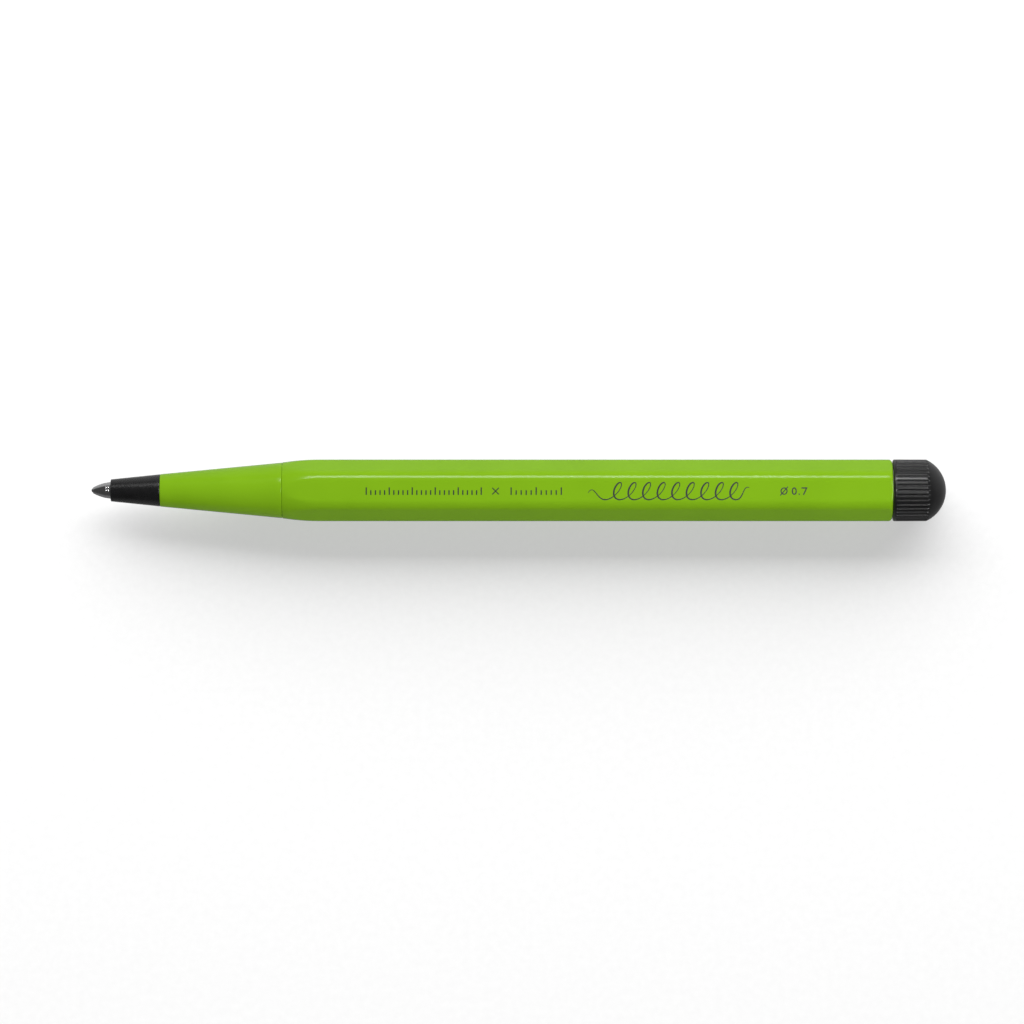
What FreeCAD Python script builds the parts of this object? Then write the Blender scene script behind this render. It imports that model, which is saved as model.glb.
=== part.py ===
import FreeCAD, Part
import os
import Sketcher

# A twist-action gel pen: hexagonal barrel, screw-on cone with a black nose, and a fluted
# domed knob whose turning drives a barrel cam that pushes the refill out.
#
# The pen lies along X with the writing ball towards -X and the knob towards +X, a flat of
# the barrel facing up and another facing down.  The origin is under the middle of the pen,
# at the level of the lowest point of the knob.  The pen is drawn ready to write.
# "Station" is the distance from the front of the writing ball along the pen, in mm.

doc = FreeCAD.newDocument("gel_pen")
sheet = doc.addObject("Spreadsheet::Sheet", "sizes")

# ---------------------------------------------------------------- driving dimensions, mm
DRIVING = {
    # writing action
    "tip_reach": 3.05,            # ball ahead of the nose face, ready to write
    "retraction": 4.50,           # how far the refill draws back
    "knob_turn": 180.0,           # degrees of knob turn for that travel
    # fits
    "slide_gap": 0.08,            # radial clearance of a sliding refill part
    "running_gap": 0.10,          # radial clearance of a turning mechanism part
    "seam_edge": 0.10,            # rounding of edges that meet at a seam
    # nose piece
    "nose_length": 7.80,
    "nose_face_dia": 3.50,
    "nose_base_dia": 5.08,
    "nose_spigot_dia": 4.20,
    "nose_spigot_length": 4.00,
    "nose_step_gap": 0.30,        # inner step ahead of the refill's neck
    # front cone
    "cone_length": 19.33,
    "cone_front_dia": 5.14,
    "cone_step": 0.04,            # cone's base under the barrel's front
    "cone_edge": 0.18,            # rounding of the cone's rear rim
    "cone_shoulder_gap": 0.50,    # inner shoulder ahead of the refill's flange
    # screw joint between cone and barrel
    "thread_pitch": 1.00,
    "thread_wall": 0.37,          # cone wall under the thread
    "thread_depth": 0.30,
    "thread_flank_gap": 0.08,
    "thread_crest_half": 0.125,   # half the width of a ridge at its crest
    "thread_slope": 0.667,        # growth of that half width per mm of depth
    "thread_length": 6.80,
    "thread_lip": 0.08,           # cutters reach this far past the surface they open
    "thread_relief": 0.04,        # bevels at the thread's ends reach this far below its root
    "ring_groove_width": 0.70,
    "ring_groove_depth": 0.37,    # below the thread's crest
    "ring_section": 0.24,         # radius of the seal ring's section
    "seat_gap": 0.02,             # clearance round rings, springs and seats
    # barrel
    "barrel_length": 96.30,
    "barrel_flats": 9.00,         # across flats
    "barrel_corner": 2.00,        # radius along the six edges
    "barrel_front_step": 0.16,    # front diameter under the width across flats
    "ogive_radius": 45.0,         # turned curve that runs the flats out to round
    "barrel_rear_edge": 0.65,
    # knob
    "knob_gap": 0.13,             # visible gap between barrel and knob
    "knob_grip": 5.25,            # length of the fluted band
    "knob_taper": 0.05,           # knob's diameter lost along the fluted band
    "knob_dome": 3.14,            # height of the dome
    "knob_edge": 0.25,
    "flute_count": 40.0,
    "flute_depth": 0.20,
    "flute_width": 0.44,
    "flute_floor": 0.10,
    "flute_margin": 0.42,         # plain rim ahead of the flutes
    # refill
    "refill_length": 98.10,
    "refill_dia": 5.90,
    "refill_wall": 0.50,
    "ball_dia": 0.70,
    "ball_reach": 0.22,           # ball ahead of the rim that holds it
    "ball_gap": 0.015,
    "tip_dia": 2.72,
    "tip_rim_dia": 0.90,
    "tip_ogive": 7.11,            # radius of the point's curve
    "tip_point_length": 3.70,
    "tip_length": 9.50,
    "tip_shank_dia": 1.90,
    "tip_shank_length": 3.30,
    "tip_throat_dia": 0.40,
    "tip_throat_length": 0.40,
    "tip_bore_dia": 1.10,
    "neck_dia": 3.10,
    "neck_length": 12.40,
    "neck_taper": 0.475,          # length of the cone between tip and neck
    "flange_width": 0.60,
    "holder_plug_length": 5.50,
    "holder_bore_dia": 1.60,
    "ink_length": 46.0,           # ink behind the holder
    "follower_length": 5.00,
    "end_flange": 3.50,
    "end_spigot": 4.00,
    "end_recess_dia": 4.00,
    "end_recess_depth": 2.00,
    "vent_dia": 1.00,
    "crown_slot_width": 1.00,
    "crown_slot_depth": 1.00,
    "crown_slot_count": 4.0,      # openings round the crown
    # springs
    "spring_wire": 0.35,
    "spring_turns": 9.0,
    "seal_wire": 0.12,
    "seal_coil_dia": 0.84,
    "seal_pitch": 0.40,
    "seal_turns": 12.0,
    "seal_needle": 1.20,
    # plunger and cross pin
    "plunger_head_rim": 0.05,     # head beyond the refill's radius
    "plunger_head_length": 2.00,
    "plunger_nub_length": 1.20,
    "plunger_rod_dia": 4.40,
    "plunger_tail": 3.00,         # rod behind the pin
    "pin_dia": 1.20,
    "pin_recess": 0.10,           # pin end below the sleeve's outside
    "pin_slot_gap": 0.06,
    # cam rotor
    "rotor_wall": 0.90,
    "rotor_clear": 0.30,          # plunger head to rotor, drawn back
    "rotor_plate": 2.00,
    "cam_lead_in": 3.10,          # rotor's front face to the pin
    "cam_slot_gap": 0.20,         # extra half width along the axis beside the pin's own
    "cam_overrun": 20.0,          # degrees of slot past the pin at each end
    "end_play": 0.05,
    "rotor_ring_section": 0.23,
    "rotor_ring_groove": 0.80,
    "stem_dia": 4.40,
    "stem_end_gap": 0.20,
    # mechanism sleeve
    "sleeve_wall": 0.50,
    "sleeve_lead": 4.40,          # sleeve ahead of the rotor
    "collar_length": 2.00,
    # washer and clip behind the collar
    "washer_thick": 0.25,
    "washer_dia": 6.60,
    "clip_thick": 0.38,
    "clip_dia": 6.00,
    "clip_groove_depth": 0.35,
    "clip_mouth": 3.00,
    "clip_rear_gap": 0.20,        # clip to the bottom of the knob's recess
    "knob_recess_dia": 6.90,
    "knob_bore_depth": 5.20,
}


class Size:
    """A length that carries both its number and the spreadsheet expression it comes from."""

    def __init__(self, value, text):
        self.value = float(value)
        self.text = text

    @staticmethod
    def of(other):
        return other if isinstance(other, Size) else Size(other, repr(float(other)))

    def _join(self, other, sign, value):
        return Size(value, "(%s %s %s)" % (self.text, sign, other.text))

    def __add__(self, other):
        other = Size.of(other)
        return self._join(other, "+", self.value + other.value)

    def __sub__(self, other):
        other = Size.of(other)
        return self._join(other, "-", self.value - other.value)

    def __mul__(self, other):
        other = Size.of(other)
        return self._join(other, "*", self.value * other.value)

    def __truediv__(self, other):
        other = Size.of(other)
        return self._join(other, "/", self.value / other.value)

    def __radd__(self, other):
        return Size.of(other) + self

    def __rsub__(self, other):
        return Size.of(other) - self

    def __rmul__(self, other):
        return Size.of(other) * self

    def __rtruediv__(self, other):
        return Size.of(other) / self

    def __neg__(self):
        return Size(-self.value, "(0 - %s)" % self.text)


def root(size):
    return Size(size.value ** 0.5, "sqrt(%s)" % size.text)


class Sizes:
    """The driving dimensions by name, each as a Size."""


size = Sizes()
for row, (name, value) in enumerate(DRIVING.items(), start=1):
    sheet.set("A%d" % row, name)
    sheet.set("B%d" % row, repr(value))
    sheet.setAlias("B%d" % row, name)
    setattr(size, name, Size(value, "sizes." + name))
doc.recompute()

# ---------------------------------------------------------------- stations along the pen
nose_front = size.tip_reach
cone_front = nose_front + size.nose_length
seam = cone_front + size.cone_length
barrel_end = seam + size.barrel_length
knob_front = barrel_end + size.knob_gap
dome_front = knob_front + size.knob_grip
overall = dome_front + size.knob_dome

neck_front = size.tip_length
flange_front = neck_front + size.neck_length
tube_front = flange_front + size.flange_width
tube_end = size.refill_length - size.end_flange
spring_front = cone_front + size.nose_spigot_length

rotor_front = (
    size.refill_length + size.retraction + size.plunger_head_length + size.rotor_clear
)
pin_station = rotor_front + size.cam_lead_in
sleeve_front = rotor_front - size.sleeve_lead
rotor_back = barrel_end - size.collar_length - size.end_play
washer_front = barrel_end
clip_front = washer_front + size.washer_thick + size.end_play
stem_end = knob_front + size.knob_bore_depth - size.stem_end_gap

# ---------------------------------------------------------------- shared radii
neck_radius = size.neck_dia / 2
tip_radius = size.tip_dia / 2
refill_radius = size.refill_dia / 2
ink_radius = refill_radius - size.refill_wall
spring_radius = neck_radius + size.slide_gap + size.spring_wire / 2
body_bore = refill_radius + size.running_gap
root_radius = body_bore + size.thread_wall
crest_radius = root_radius + size.thread_depth
female_crest = root_radius + size.thread_flank_gap
female_root = crest_radius + size.thread_flank_gap
ring_floor = crest_radius - size.ring_groove_depth
ring_radius = ring_floor + size.seat_gap + size.ring_section
ring_seat = ring_radius + size.ring_section + size.seat_gap
rod_radius = size.plunger_rod_dia / 2
rotor_bore = rod_radius + size.running_gap
rotor_radius = rotor_bore + size.rotor_wall
sleeve_bore = rotor_radius + size.running_gap
sleeve_radius = sleeve_bore + size.sleeve_wall
stem_radius = size.stem_dia / 2
collar_bore = stem_radius + size.running_gap
rotor_ring_radius = sleeve_bore - size.seat_gap * 2 - size.rotor_ring_section
pin_radius = size.pin_dia / 2
hexagon_radius = size.barrel_flats / root(Size.of(3))
corner_radius = hexagon_radius - size.barrel_corner * (2 / root(Size.of(3)) - 1)
barrel_front_radius = (size.barrel_flats - size.barrel_front_step) / 2
cone_base_radius = barrel_front_radius - size.cone_step / 2
knob_radius = corner_radius
axis_height = knob_radius
cam_lead = size.retraction * 360 / size.knob_turn

# ---------------------------------------------------------------- screw thread's section
groove_floor_half = size.thread_pitch / 2 - size.thread_crest_half - (
    size.thread_slope * size.thread_depth
)
groove_top_half = size.thread_pitch / 2 - size.thread_crest_half + (
    size.thread_slope * size.thread_lip
)
thread_start = size.seat_gap + groove_top_half  # from the seam, where both paths are cut


# ---------------------------------------------------------------- drawing helpers
SAME = 1e-6  # lengths that differ by less are equal


def bind(thing, prop, value):
    """Set a property and tie it to the spreadsheet."""
    setattr(thing, prop, value.value)
    thing.setExpression(prop, value.text)


def new_body(label, station=None, tilt=None):
    """An empty body placed on the pen's axis, tilted about the axis if asked."""
    body = doc.addObject("PartDesign::Body", label)
    body.Label = label
    place_on_axis(body, station, tilt)
    return body


def place_on_axis(thing, station, tilt=None):
    angle = tilt.value if tilt else 0.0
    where = station - overall / 2
    thing.Placement = FreeCAD.Placement(
        FreeCAD.Vector(where.value, 0, axis_height.value),
        FreeCAD.Rotation(FreeCAD.Vector(1, 0, 0), angle),
    )
    thing.setExpression("Placement.Base.x", where.text)
    thing.setExpression("Placement.Base.z", axis_height.text)
    if tilt:
        thing.setExpression("Placement.Rotation.Angle", tilt.text)


def origin_plane(body, role):
    return next(f for f in body.Origin.OriginFeatures if f.Role == role)


def middle_of_arc(start, end, radius):
    """Middle of the shorter arc from start to end; a positive radius bulges to the left."""
    chord = end - start
    half = chord.Length / 2
    left = FreeCAD.Vector(-chord.y, chord.x, 0).normalize()
    rise = abs(radius) - (radius * radius - half * half) ** 0.5
    side = 1.0 if radius > 0 else -1.0
    return (start + end) * 0.5 + left * (side * rise)


def draw(body, outline, plane="XY_Plane", offset=None, name="outline"):
    """A closed sketch on one of the body's own planes.

    Each corner is (x, y), or (x, y, radius) where the edge that leaves it is an arc.
    """
    sketch = body.newObject("Sketcher::SketchObject", name)
    sketch.AttachmentSupport = (origin_plane(body, plane), [""])
    sketch.MapMode = "FlatFace"
    if offset:
        sketch.AttachmentOffset = FreeCAD.Placement(
            FreeCAD.Vector(0, 0, offset.value), FreeCAD.Rotation()
        )
        sketch.setExpression("AttachmentOffset.Base.z", offset.text)
    points = [
        FreeCAD.Vector(Size.of(corner[0]).value, Size.of(corner[1]).value, 0)
        for corner in outline
    ]
    edges = []
    for i, corner in enumerate(outline):
        start = points[i]
        end = points[(i + 1) % len(points)]
        if len(corner) == 3:
            middle = middle_of_arc(start, end, corner[2].value)
            edges.append(sketch.addGeometry(Part.Arc(start, middle, end), False))
        else:
            edges.append(sketch.addGeometry(Part.LineSegment(start, end), False))
    for i, corner in enumerate(outline):
        after = edges[(i + 1) % len(edges)]
        first, last = ends_of(sketch, edges[i], points[i])
        first_after, _ = ends_of(sketch, after, points[(i + 1) % len(points)])
        sketch.addConstraint(
            Sketcher.Constraint("Coincident", edges[i], last, after, first_after)
        )
        tie_corner(sketch, edges[i], first, corner)
    return sketch


def ends_of(sketch, edge, start):
    """Which of an edge's two ends is its start: an arc's geometry may run backwards."""
    forward = sketch.getPoint(edge, 1).distanceToPoint(start) < SAME
    return (1, 2) if forward else (2, 1)


def tie_corner(sketch, edge, end, corner):
    """Tie one end of an edge to its corner's coordinates, and an arc to its radius."""
    for kind, axis, distance in (("DistanceX", -2, corner[0]), ("DistanceY", -1, corner[1])):
        distance = Size.of(distance)
        if abs(distance.value) < SAME:
            sketch.addConstraint(Sketcher.Constraint("PointOnObject", edge, end, axis))
            continue
        if distance.value > 0:
            ends = (-1, 1, edge, end)
        else:
            ends = (edge, end, -1, 1)
            distance = -distance
        number = sketch.addConstraint(Sketcher.Constraint(kind, *ends, distance.value))
        sketch.setExpression("Constraints[%d]" % number, distance.text)
    if len(corner) == 3:
        radius = corner[2] if corner[2].value > 0 else -corner[2]
        number = sketch.addConstraint(Sketcher.Constraint("Radius", edge, radius.value))
        sketch.setExpression("Constraints[%d]" % number, radius.text)


def turn(body, outline, name="turned"):
    """Revolve an outline of (x, radius) corners about the pen's axis."""
    sketch = draw(body, outline)
    feature = body.newObject("PartDesign::Revolution", name)
    feature.Profile = sketch
    feature.ReferenceAxis = (sketch, ["H_Axis"])
    feature.Angle = 360
    return feature


def turn_away(body, outline, name="turned_away"):
    """Cut the ring swept by an outline of (x, radius) corners about the pen's axis."""
    sketch = draw(body, outline)
    feature = body.newObject("PartDesign::Groove", name)
    feature.Profile = sketch
    feature.ReferenceAxis = (sketch, ["H_Axis"])
    feature.Angle = 360
    return feature


def helix(body, kind, sketch, name, pitch, height, left_handed=False):
    """A helical sweep of a sketch along the pen's axis, added or cut."""
    feature = body.newObject("PartDesign::%sHelix" % kind, name)
    feature.Profile = sketch
    feature.ReferenceAxis = (sketch, ["H_Axis"])
    feature.Mode = "pitch-height-angle"
    bind(feature, "Pitch", pitch)
    bind(feature, "Height", height)
    feature.LeftHanded = left_handed
    feature.Refine = False  # merging faces would make one that winds over itself
    return feature


def polar(body, feature, count, name):
    """Repeat a feature all round the pen's axis."""
    pattern = body.newObject("PartDesign::PolarPattern", name)
    pattern.Originals = [feature]
    pattern.Axis = (origin_axis(body), [""])
    pattern.Angle = 360
    pattern.Occurrences = int(count.value)
    pattern.setExpression("Occurrences", count.text)
    pattern.Refine = feature.Refine
    body.Tip = pattern
    return pattern


def origin_axis(body):
    return next(f for f in body.Origin.OriginFeatures if f.Role == "X_Axis")


def pocket_across(body, sketch, name):
    """Cut a sketch right through the body, both ways."""
    feature = body.newObject("PartDesign::Pocket", name)
    feature.Profile = sketch
    feature.Type = "ThroughAll"
    feature.Midplane = True
    return feature


AIR = 0.5  # how far a cutting outline runs past the surface it opens
THREAD_LEAD_TURNS = 1.5  # a turn past each end, and the half turn from ridge to groove
PIN_ENDS = Size.of(2)  # each end of the cross pin runs in a cam slot of its own


# ---------------------------------------------------------------- the refill
def writing_ball():
    ball = doc.addObject("Part::Sphere", "writing_ball")
    ball.Label = "writing_ball"
    bind(ball, "Radius", size.ball_dia / 2)
    place_on_axis(ball, size.ball_dia / 2)
    return ball


def writing_tip():
    """Turned steel point: ball socket, throat, spring bore, and a shank for the holder."""
    body = new_body("writing_tip", Size.of(0))
    seat = size.ball_dia / 2 + size.ball_gap
    centre = size.ball_dia / 2
    rim = size.ball_reach
    throat = size.tip_throat_dia / 2
    bore = size.tip_bore_dia / 2
    rim_inside = root(seat * seat - (centre - rim) * (centre - rim))
    throat_front = centre + root(seat * seat - throat * throat)
    throat_back = throat_front + size.tip_throat_length
    shank_end = neck_front + size.tip_shank_length
    turn(body, [
        (rim, rim_inside),
        (rim, size.tip_rim_dia / 2, size.tip_ogive),
        (size.tip_point_length, tip_radius),
        (neck_front, tip_radius),
        (neck_front, size.tip_shank_dia / 2),
        (shank_end, size.tip_shank_dia / 2),
        (shank_end, bore),
        (throat_back, bore),
        (throat_back, throat),
        (throat_front, throat, -seat),
    ])
    return body


def ball_seal_spring():
    """Fine coil behind the ball, its front end straight so that it reaches through the throat."""
    wire = size.seal_wire.value / 2
    coil = size.seal_coil_dia.value / 2
    start = size.ball_dia.value + wire
    bend = start + size.seal_needle.value
    height = (size.seal_pitch * size.seal_turns).value
    along = FreeCAD.Vector(1, 0, 0)
    across = FreeCAD.Vector(0, 1, 0)
    needle = Part.makeCylinder(wire, bend - start, along * start, along)
    arm = Part.makeCylinder(wire, coil, along * bend, across)
    elbow = Part.makeSphere(wire, along * bend)
    shoulder = Part.makeSphere(wire, along * bend + across * coil)
    path = Part.makeHelix(size.seal_pitch.value, height, coil)
    section = Part.Wire(Part.makeCircle(
        wire, FreeCAD.Vector(coil, 0, 0), FreeCAD.Vector(0, 1, 0)
    ))
    coils = Part.Wire(path).makePipeShell([section], True, True)
    turn_to_x = FreeCAD.Rotation(
        FreeCAD.Vector(0, 1, 0), FreeCAD.Vector(0, 0, 1), FreeCAD.Vector(1, 0, 0), "ZXY"
    )
    coils.Placement = FreeCAD.Placement(along * bend, turn_to_x)
    spring = doc.addObject("Part::Feature", "ball_seal_spring")
    spring.Label = "ball_seal_spring"
    spring.Shape = needle.fuse([arm, elbow, shoulder, coils])
    place_on_axis(spring, Size.of(0))
    return spring


def tip_holder():
    """Moulded neck that grips the tip's shank, with a plug for the tube."""
    body = new_body("tip_holder", neck_front)
    flange = size.neck_length
    plug = flange + size.flange_width
    end = plug + size.holder_plug_length
    shank = size.tip_shank_dia / 2
    bore = size.holder_bore_dia / 2
    turn(body, [
        (0, shank),
        (0, tip_radius),
        (size.neck_taper, neck_radius),
        (flange, neck_radius),
        (flange, refill_radius),
        (plug, refill_radius),
        (plug, ink_radius),
        (end, ink_radius),
        (end, bore),
        (size.tip_shank_length, bore),
        (size.tip_shank_length, shank),
    ])
    return body


def ink_tube():
    body = new_body("ink_tube", tube_front)
    length = tube_end - tube_front
    edge = size.seam_edge
    turn(body, [
        (0, ink_radius),
        (0, refill_radius - edge),
        (edge, refill_radius),
        (length - edge, refill_radius),
        (length, refill_radius - edge),
        (length, ink_radius),
    ])
    return body


def gel_ink():
    """Ink in the holder's bore and in the tube behind it."""
    body = new_body("gel_ink", neck_front + size.tip_shank_length)
    plug_end = tube_front + size.holder_plug_length - neck_front - size.tip_shank_length
    bore = size.holder_bore_dia / 2
    turn(body, [
        (0, 0),
        (0, bore),
        (plug_end, bore),
        (plug_end, ink_radius),
        (plug_end + size.ink_length, ink_radius),
        (plug_end + size.ink_length, 0),
    ])
    return body


def ink_follower():
    """Clear grease that follows the ink as it is used."""
    start = tube_front + size.holder_plug_length + size.ink_length
    body = new_body("ink_follower", start)
    turn(body, [
        (0, 0),
        (0, ink_radius),
        (size.follower_length, ink_radius),
        (size.follower_length, 0),
    ])
    return body


def refill_end_plug():
    """Crowned end of the refill, vented, with notches in its rim."""
    body = new_body("refill_end_plug", tube_end - size.end_spigot)
    flange = size.end_spigot
    end = flange + size.end_flange
    recess = end - size.end_recess_depth
    vent = size.vent_dia / 2
    edge = size.seam_edge
    turn(body, [
        (0, vent),
        (0, ink_radius),
        (flange, ink_radius),
        (flange, refill_radius - edge),
        (flange + edge, refill_radius),
        (end - edge, refill_radius),
        (end, refill_radius - edge),
        (end, size.end_recess_dia / 2),
        (recess, size.end_recess_dia / 2),
        (recess, vent),
    ])
    half = size.crown_slot_width / 2
    bottom = end - size.crown_slot_depth
    slot = draw(body, [
        (bottom, -half),
        (bottom, half),
        (end + AIR, half),
        (end + AIR, -half),
    ], name="crown_slot_outline")
    first = pocket_across(body, slot, "crown_slot")
    polar(body, first, size.crown_slot_count, "crown_slots")
    return body


# ---------------------------------------------------------------- front end
def return_spring():
    """Compression spring round the refill's neck, between nose spigot and flange."""
    wire = size.spring_wire / 2
    start = spring_front + size.seat_gap + wire
    body = new_body("return_spring", start)
    height = flange_front - size.seat_gap - wire - start
    sketch = body.newObject("Sketcher::SketchObject", "wire_section")
    sketch.AttachmentSupport = (origin_plane(body, "XY_Plane"), [""])
    sketch.MapMode = "FlatFace"
    centre = FreeCAD.Vector(0, spring_radius.value, 0)
    edge = sketch.addGeometry(
        Part.Circle(centre, FreeCAD.Vector(0, 0, 1), wire.value), False
    )
    sketch.addConstraint(Sketcher.Constraint("PointOnObject", edge, 3, -2))
    number = sketch.addConstraint(
        Sketcher.Constraint("DistanceY", -1, 1, edge, 3, spring_radius.value)
    )
    sketch.setExpression("Constraints[%d]" % number, spring_radius.text)
    number = sketch.addConstraint(Sketcher.Constraint("Radius", edge, wire.value))
    sketch.setExpression("Constraints[%d]" % number, wire.text)
    helix(body, "Additive", sketch, "coils", height / size.spring_turns, height)
    return body


def nose_piece():
    """Black nose: guides the tip, and its spigot seats the return spring."""
    body = new_body("nose_piece", nose_front)
    face = size.nose_face_dia / 2
    base = size.nose_base_dia / 2
    spigot = size.nose_spigot_dia / 2
    edge = size.seam_edge
    end = size.nose_length + size.nose_spigot_length
    tip_bore = tip_radius + size.slide_gap
    neck_bore = neck_radius + size.slide_gap
    step = neck_front - size.tip_reach - size.nose_step_gap
    turn(body, [
        (0, tip_bore + edge / 2),
        (0, face - edge, edge),
        (edge, face),
        (size.nose_length - edge, base, edge),
        (size.nose_length, base - edge),
        (size.nose_length, spigot),
        (end, spigot),
        (end, neck_bore),
        (step, neck_bore),
        (step, tip_bore),
        (edge / 2, tip_bore),
    ])
    return body


def front_cone():
    """Lacquered cone with the thread that screws it into the barrel."""
    body = new_body("front_cone", cone_front)
    length = size.cone_length
    edge = size.seam_edge
    rim = size.cone_edge
    front = size.cone_front_dia / 2
    base = cone_base_radius
    spigot = size.nose_spigot_dia / 2
    groove_end = length + size.ring_groove_width
    thread_end = groove_end + size.thread_length
    shoulder = flange_front - size.cone_shoulder_gap - cone_front
    relief = root_radius - size.thread_relief
    bevel = crest_radius - relief
    turn(body, [
        (0, spigot),
        (0, front - edge, edge),
        (edge, front),
        (length - rim, base, rim),
        (length, base - rim),
        (length, ring_floor),
        (groove_end, ring_floor),
        (groove_end, relief),
        (groove_end + bevel, crest_radius),
        (thread_end - bevel, crest_radius),
        (thread_end, relief),
        (thread_end, body_bore),
        (shoulder, body_bore),
        (shoulder - (body_bore - spigot), spigot),
    ])
    cut_thread(body, length)
    return body


def cut_thread(body, shoulder):
    """The cone's external thread: one helical groove between its ridges."""
    start = shoulder + thread_start
    sketch = draw(body, [
        (start - groove_floor_half, root_radius),
        (start - groove_top_half, crest_radius + size.thread_lip),
        (start + groove_top_half, crest_radius + size.thread_lip),
        (start + groove_floor_half, root_radius),
    ], name="thread_outline")
    height = size.ring_groove_width + size.thread_length + size.thread_pitch
    return helix(body, "Subtractive", sketch, "thread", size.thread_pitch, height)


def cone_seal_ring():
    ring = doc.addObject("Part::Torus", "cone_seal_ring")
    ring.Label = "cone_seal_ring"
    bind(ring, "Radius1", ring_radius)
    bind(ring, "Radius2", size.ring_section)
    across_axis(ring, seam + size.ring_groove_width / 2)
    return ring


def across_axis(thing, station):
    """Place a primitive so that its own Z runs along the pen."""
    where = station - overall / 2
    thing.Placement = FreeCAD.Placement(
        FreeCAD.Vector(where.value, 0, axis_height.value),
        FreeCAD.Rotation(FreeCAD.Vector(0, 1, 0), 90),
    )
    thing.setExpression("Placement.Base.x", where.text)
    thing.setExpression("Placement.Base.z", axis_height.text)


# ---------------------------------------------------------------- barrel
def barrel():
    """Hexagonal barrel, turned down to round at the front and bored right through."""
    body = new_body("barrel", seam)
    length = size.barrel_length
    flat = size.barrel_flats / 2
    corner = hexagon_radius
    hexagon = draw(body, [
        (corner, 0),
        (corner / 2, flat),
        (-corner / 2, flat),
        (-corner, 0),
        (-corner / 2, -flat),
        (corner / 2, -flat),
    ], plane="YZ_Plane", name="hexagon")
    bar = body.newObject("PartDesign::Pad", "hexagonal_bar")
    bar.Profile = hexagon
    bind(bar, "Length", length)
    doc.recompute()
    rounding = body.newObject("PartDesign::Fillet", "long_edges")
    rounding.Base = (bar, long_edges(bar.Shape, length.value))
    bind(rounding, "Radius", size.barrel_corner)
    doc.recompute()

    # the turned curve at the front meets the bar just outside its rounded edges
    clear = corner_radius + size.seat_gap
    front = barrel_front_radius
    drop = clear - front
    reach = root(size.ogive_radius * drop * 2 - drop * drop)
    turn_away(body, [
        (0, front, size.ogive_radius),
        (reach, clear),
        (reach, corner + AIR),
        (-AIR, corner + AIR),
        (-AIR, front),
    ], "front_curve")
    edge = size.barrel_rear_edge
    turn_away(body, [
        (length - edge, clear, edge),
        (length, clear - edge),
        (length + AIR, clear - edge),
        (length + AIR, corner + AIR),
        (length - edge, corner + AIR),
    ], "rear_edge")
    sleeve_seat = sleeve_front - seam - size.seat_gap
    seat_end = size.ring_groove_width + size.ring_section
    turn_away(body, [
        (-AIR, 0),
        (-AIR, ring_seat),
        (seat_end, ring_seat),
        (seat_end + (ring_seat - female_crest), female_crest),
        (sleeve_seat, female_crest),
        (sleeve_seat, sleeve_radius),
        (length + AIR, sleeve_radius),
        (length + AIR, 0),
    ], "bore")
    cut_female_thread(body)
    return body


def long_edges(shape, length):
    """Names of the edges that run the whole length of the bar."""
    return [
        "Edge%d" % (i + 1)
        for i, edge in enumerate(shape.Edges)
        if abs(edge.Length - length) < SAME
    ]


def cut_female_thread(body):
    """Internal thread, in phase with the cone's: its groove follows the cone's ridge."""
    lead_in = size.thread_pitch * THREAD_LEAD_TURNS
    start = thread_start - lead_in
    half_at_crest = size.thread_crest_half + size.thread_flank_gap
    half_inner = half_at_crest + size.thread_slope * (
        crest_radius - female_crest + size.thread_lip
    )
    half_outer = half_at_crest - size.thread_slope * size.thread_flank_gap
    sketch = draw(body, [
        (start - half_outer, female_root),
        (start - half_inner, female_crest - size.thread_lip),
        (start + half_inner, female_crest - size.thread_lip),
        (start + half_outer, female_root),
    ], name="thread_outline")
    height = size.thread_length + lead_in * 2
    return helix(body, "Subtractive", sketch, "thread", size.thread_pitch, height)


# ---------------------------------------------------------------- twist mechanism
def plunger():
    """Pushes the refill: nub in the refill's crown, head, and a rod cross-drilled for the pin."""
    nub = size.plunger_nub_length
    body = new_body("plunger", size.refill_length - nub)
    head = nub + size.plunger_head_length
    pin = pin_station - size.refill_length + nub
    end = pin + size.plunger_tail
    edge = size.seam_edge
    nub_radius = size.end_recess_dia / 2 - size.running_gap * 2
    head_radius = refill_radius + size.plunger_head_rim
    turn(body, [
        (0, 0),
        (0, nub_radius - edge),
        (edge, nub_radius),
        (nub, nub_radius),
        (nub, head_radius - edge),
        (nub + edge, head_radius),
        (head - edge, head_radius),
        (head, head_radius - edge),
        (head, rod_radius),
        (end - edge, rod_radius),
        (end, rod_radius - edge),
        (end, 0),
    ])
    doc.recompute()
    sketch = body.newObject("Sketcher::SketchObject", "pin_hole_outline")
    sketch.AttachmentSupport = (origin_plane(body, "XZ_Plane"), [""])
    sketch.MapMode = "FlatFace"
    edge_number = sketch.addGeometry(
        Part.Circle(
            FreeCAD.Vector(pin.value, 0, 0), FreeCAD.Vector(0, 0, 1), pin_radius.value
        ),
        False,
    )
    sketch.addConstraint(Sketcher.Constraint("PointOnObject", edge_number, 3, -1))
    number = sketch.addConstraint(
        Sketcher.Constraint("DistanceX", -1, 1, edge_number, 3, pin.value)
    )
    sketch.setExpression("Constraints[%d]" % number, pin.text)
    number = sketch.addConstraint(
        Sketcher.Constraint("Radius", edge_number, pin_radius.value)
    )
    sketch.setExpression("Constraints[%d]" % number, pin_radius.text)
    pocket_across(body, sketch, "pin_hole")
    return body


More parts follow.
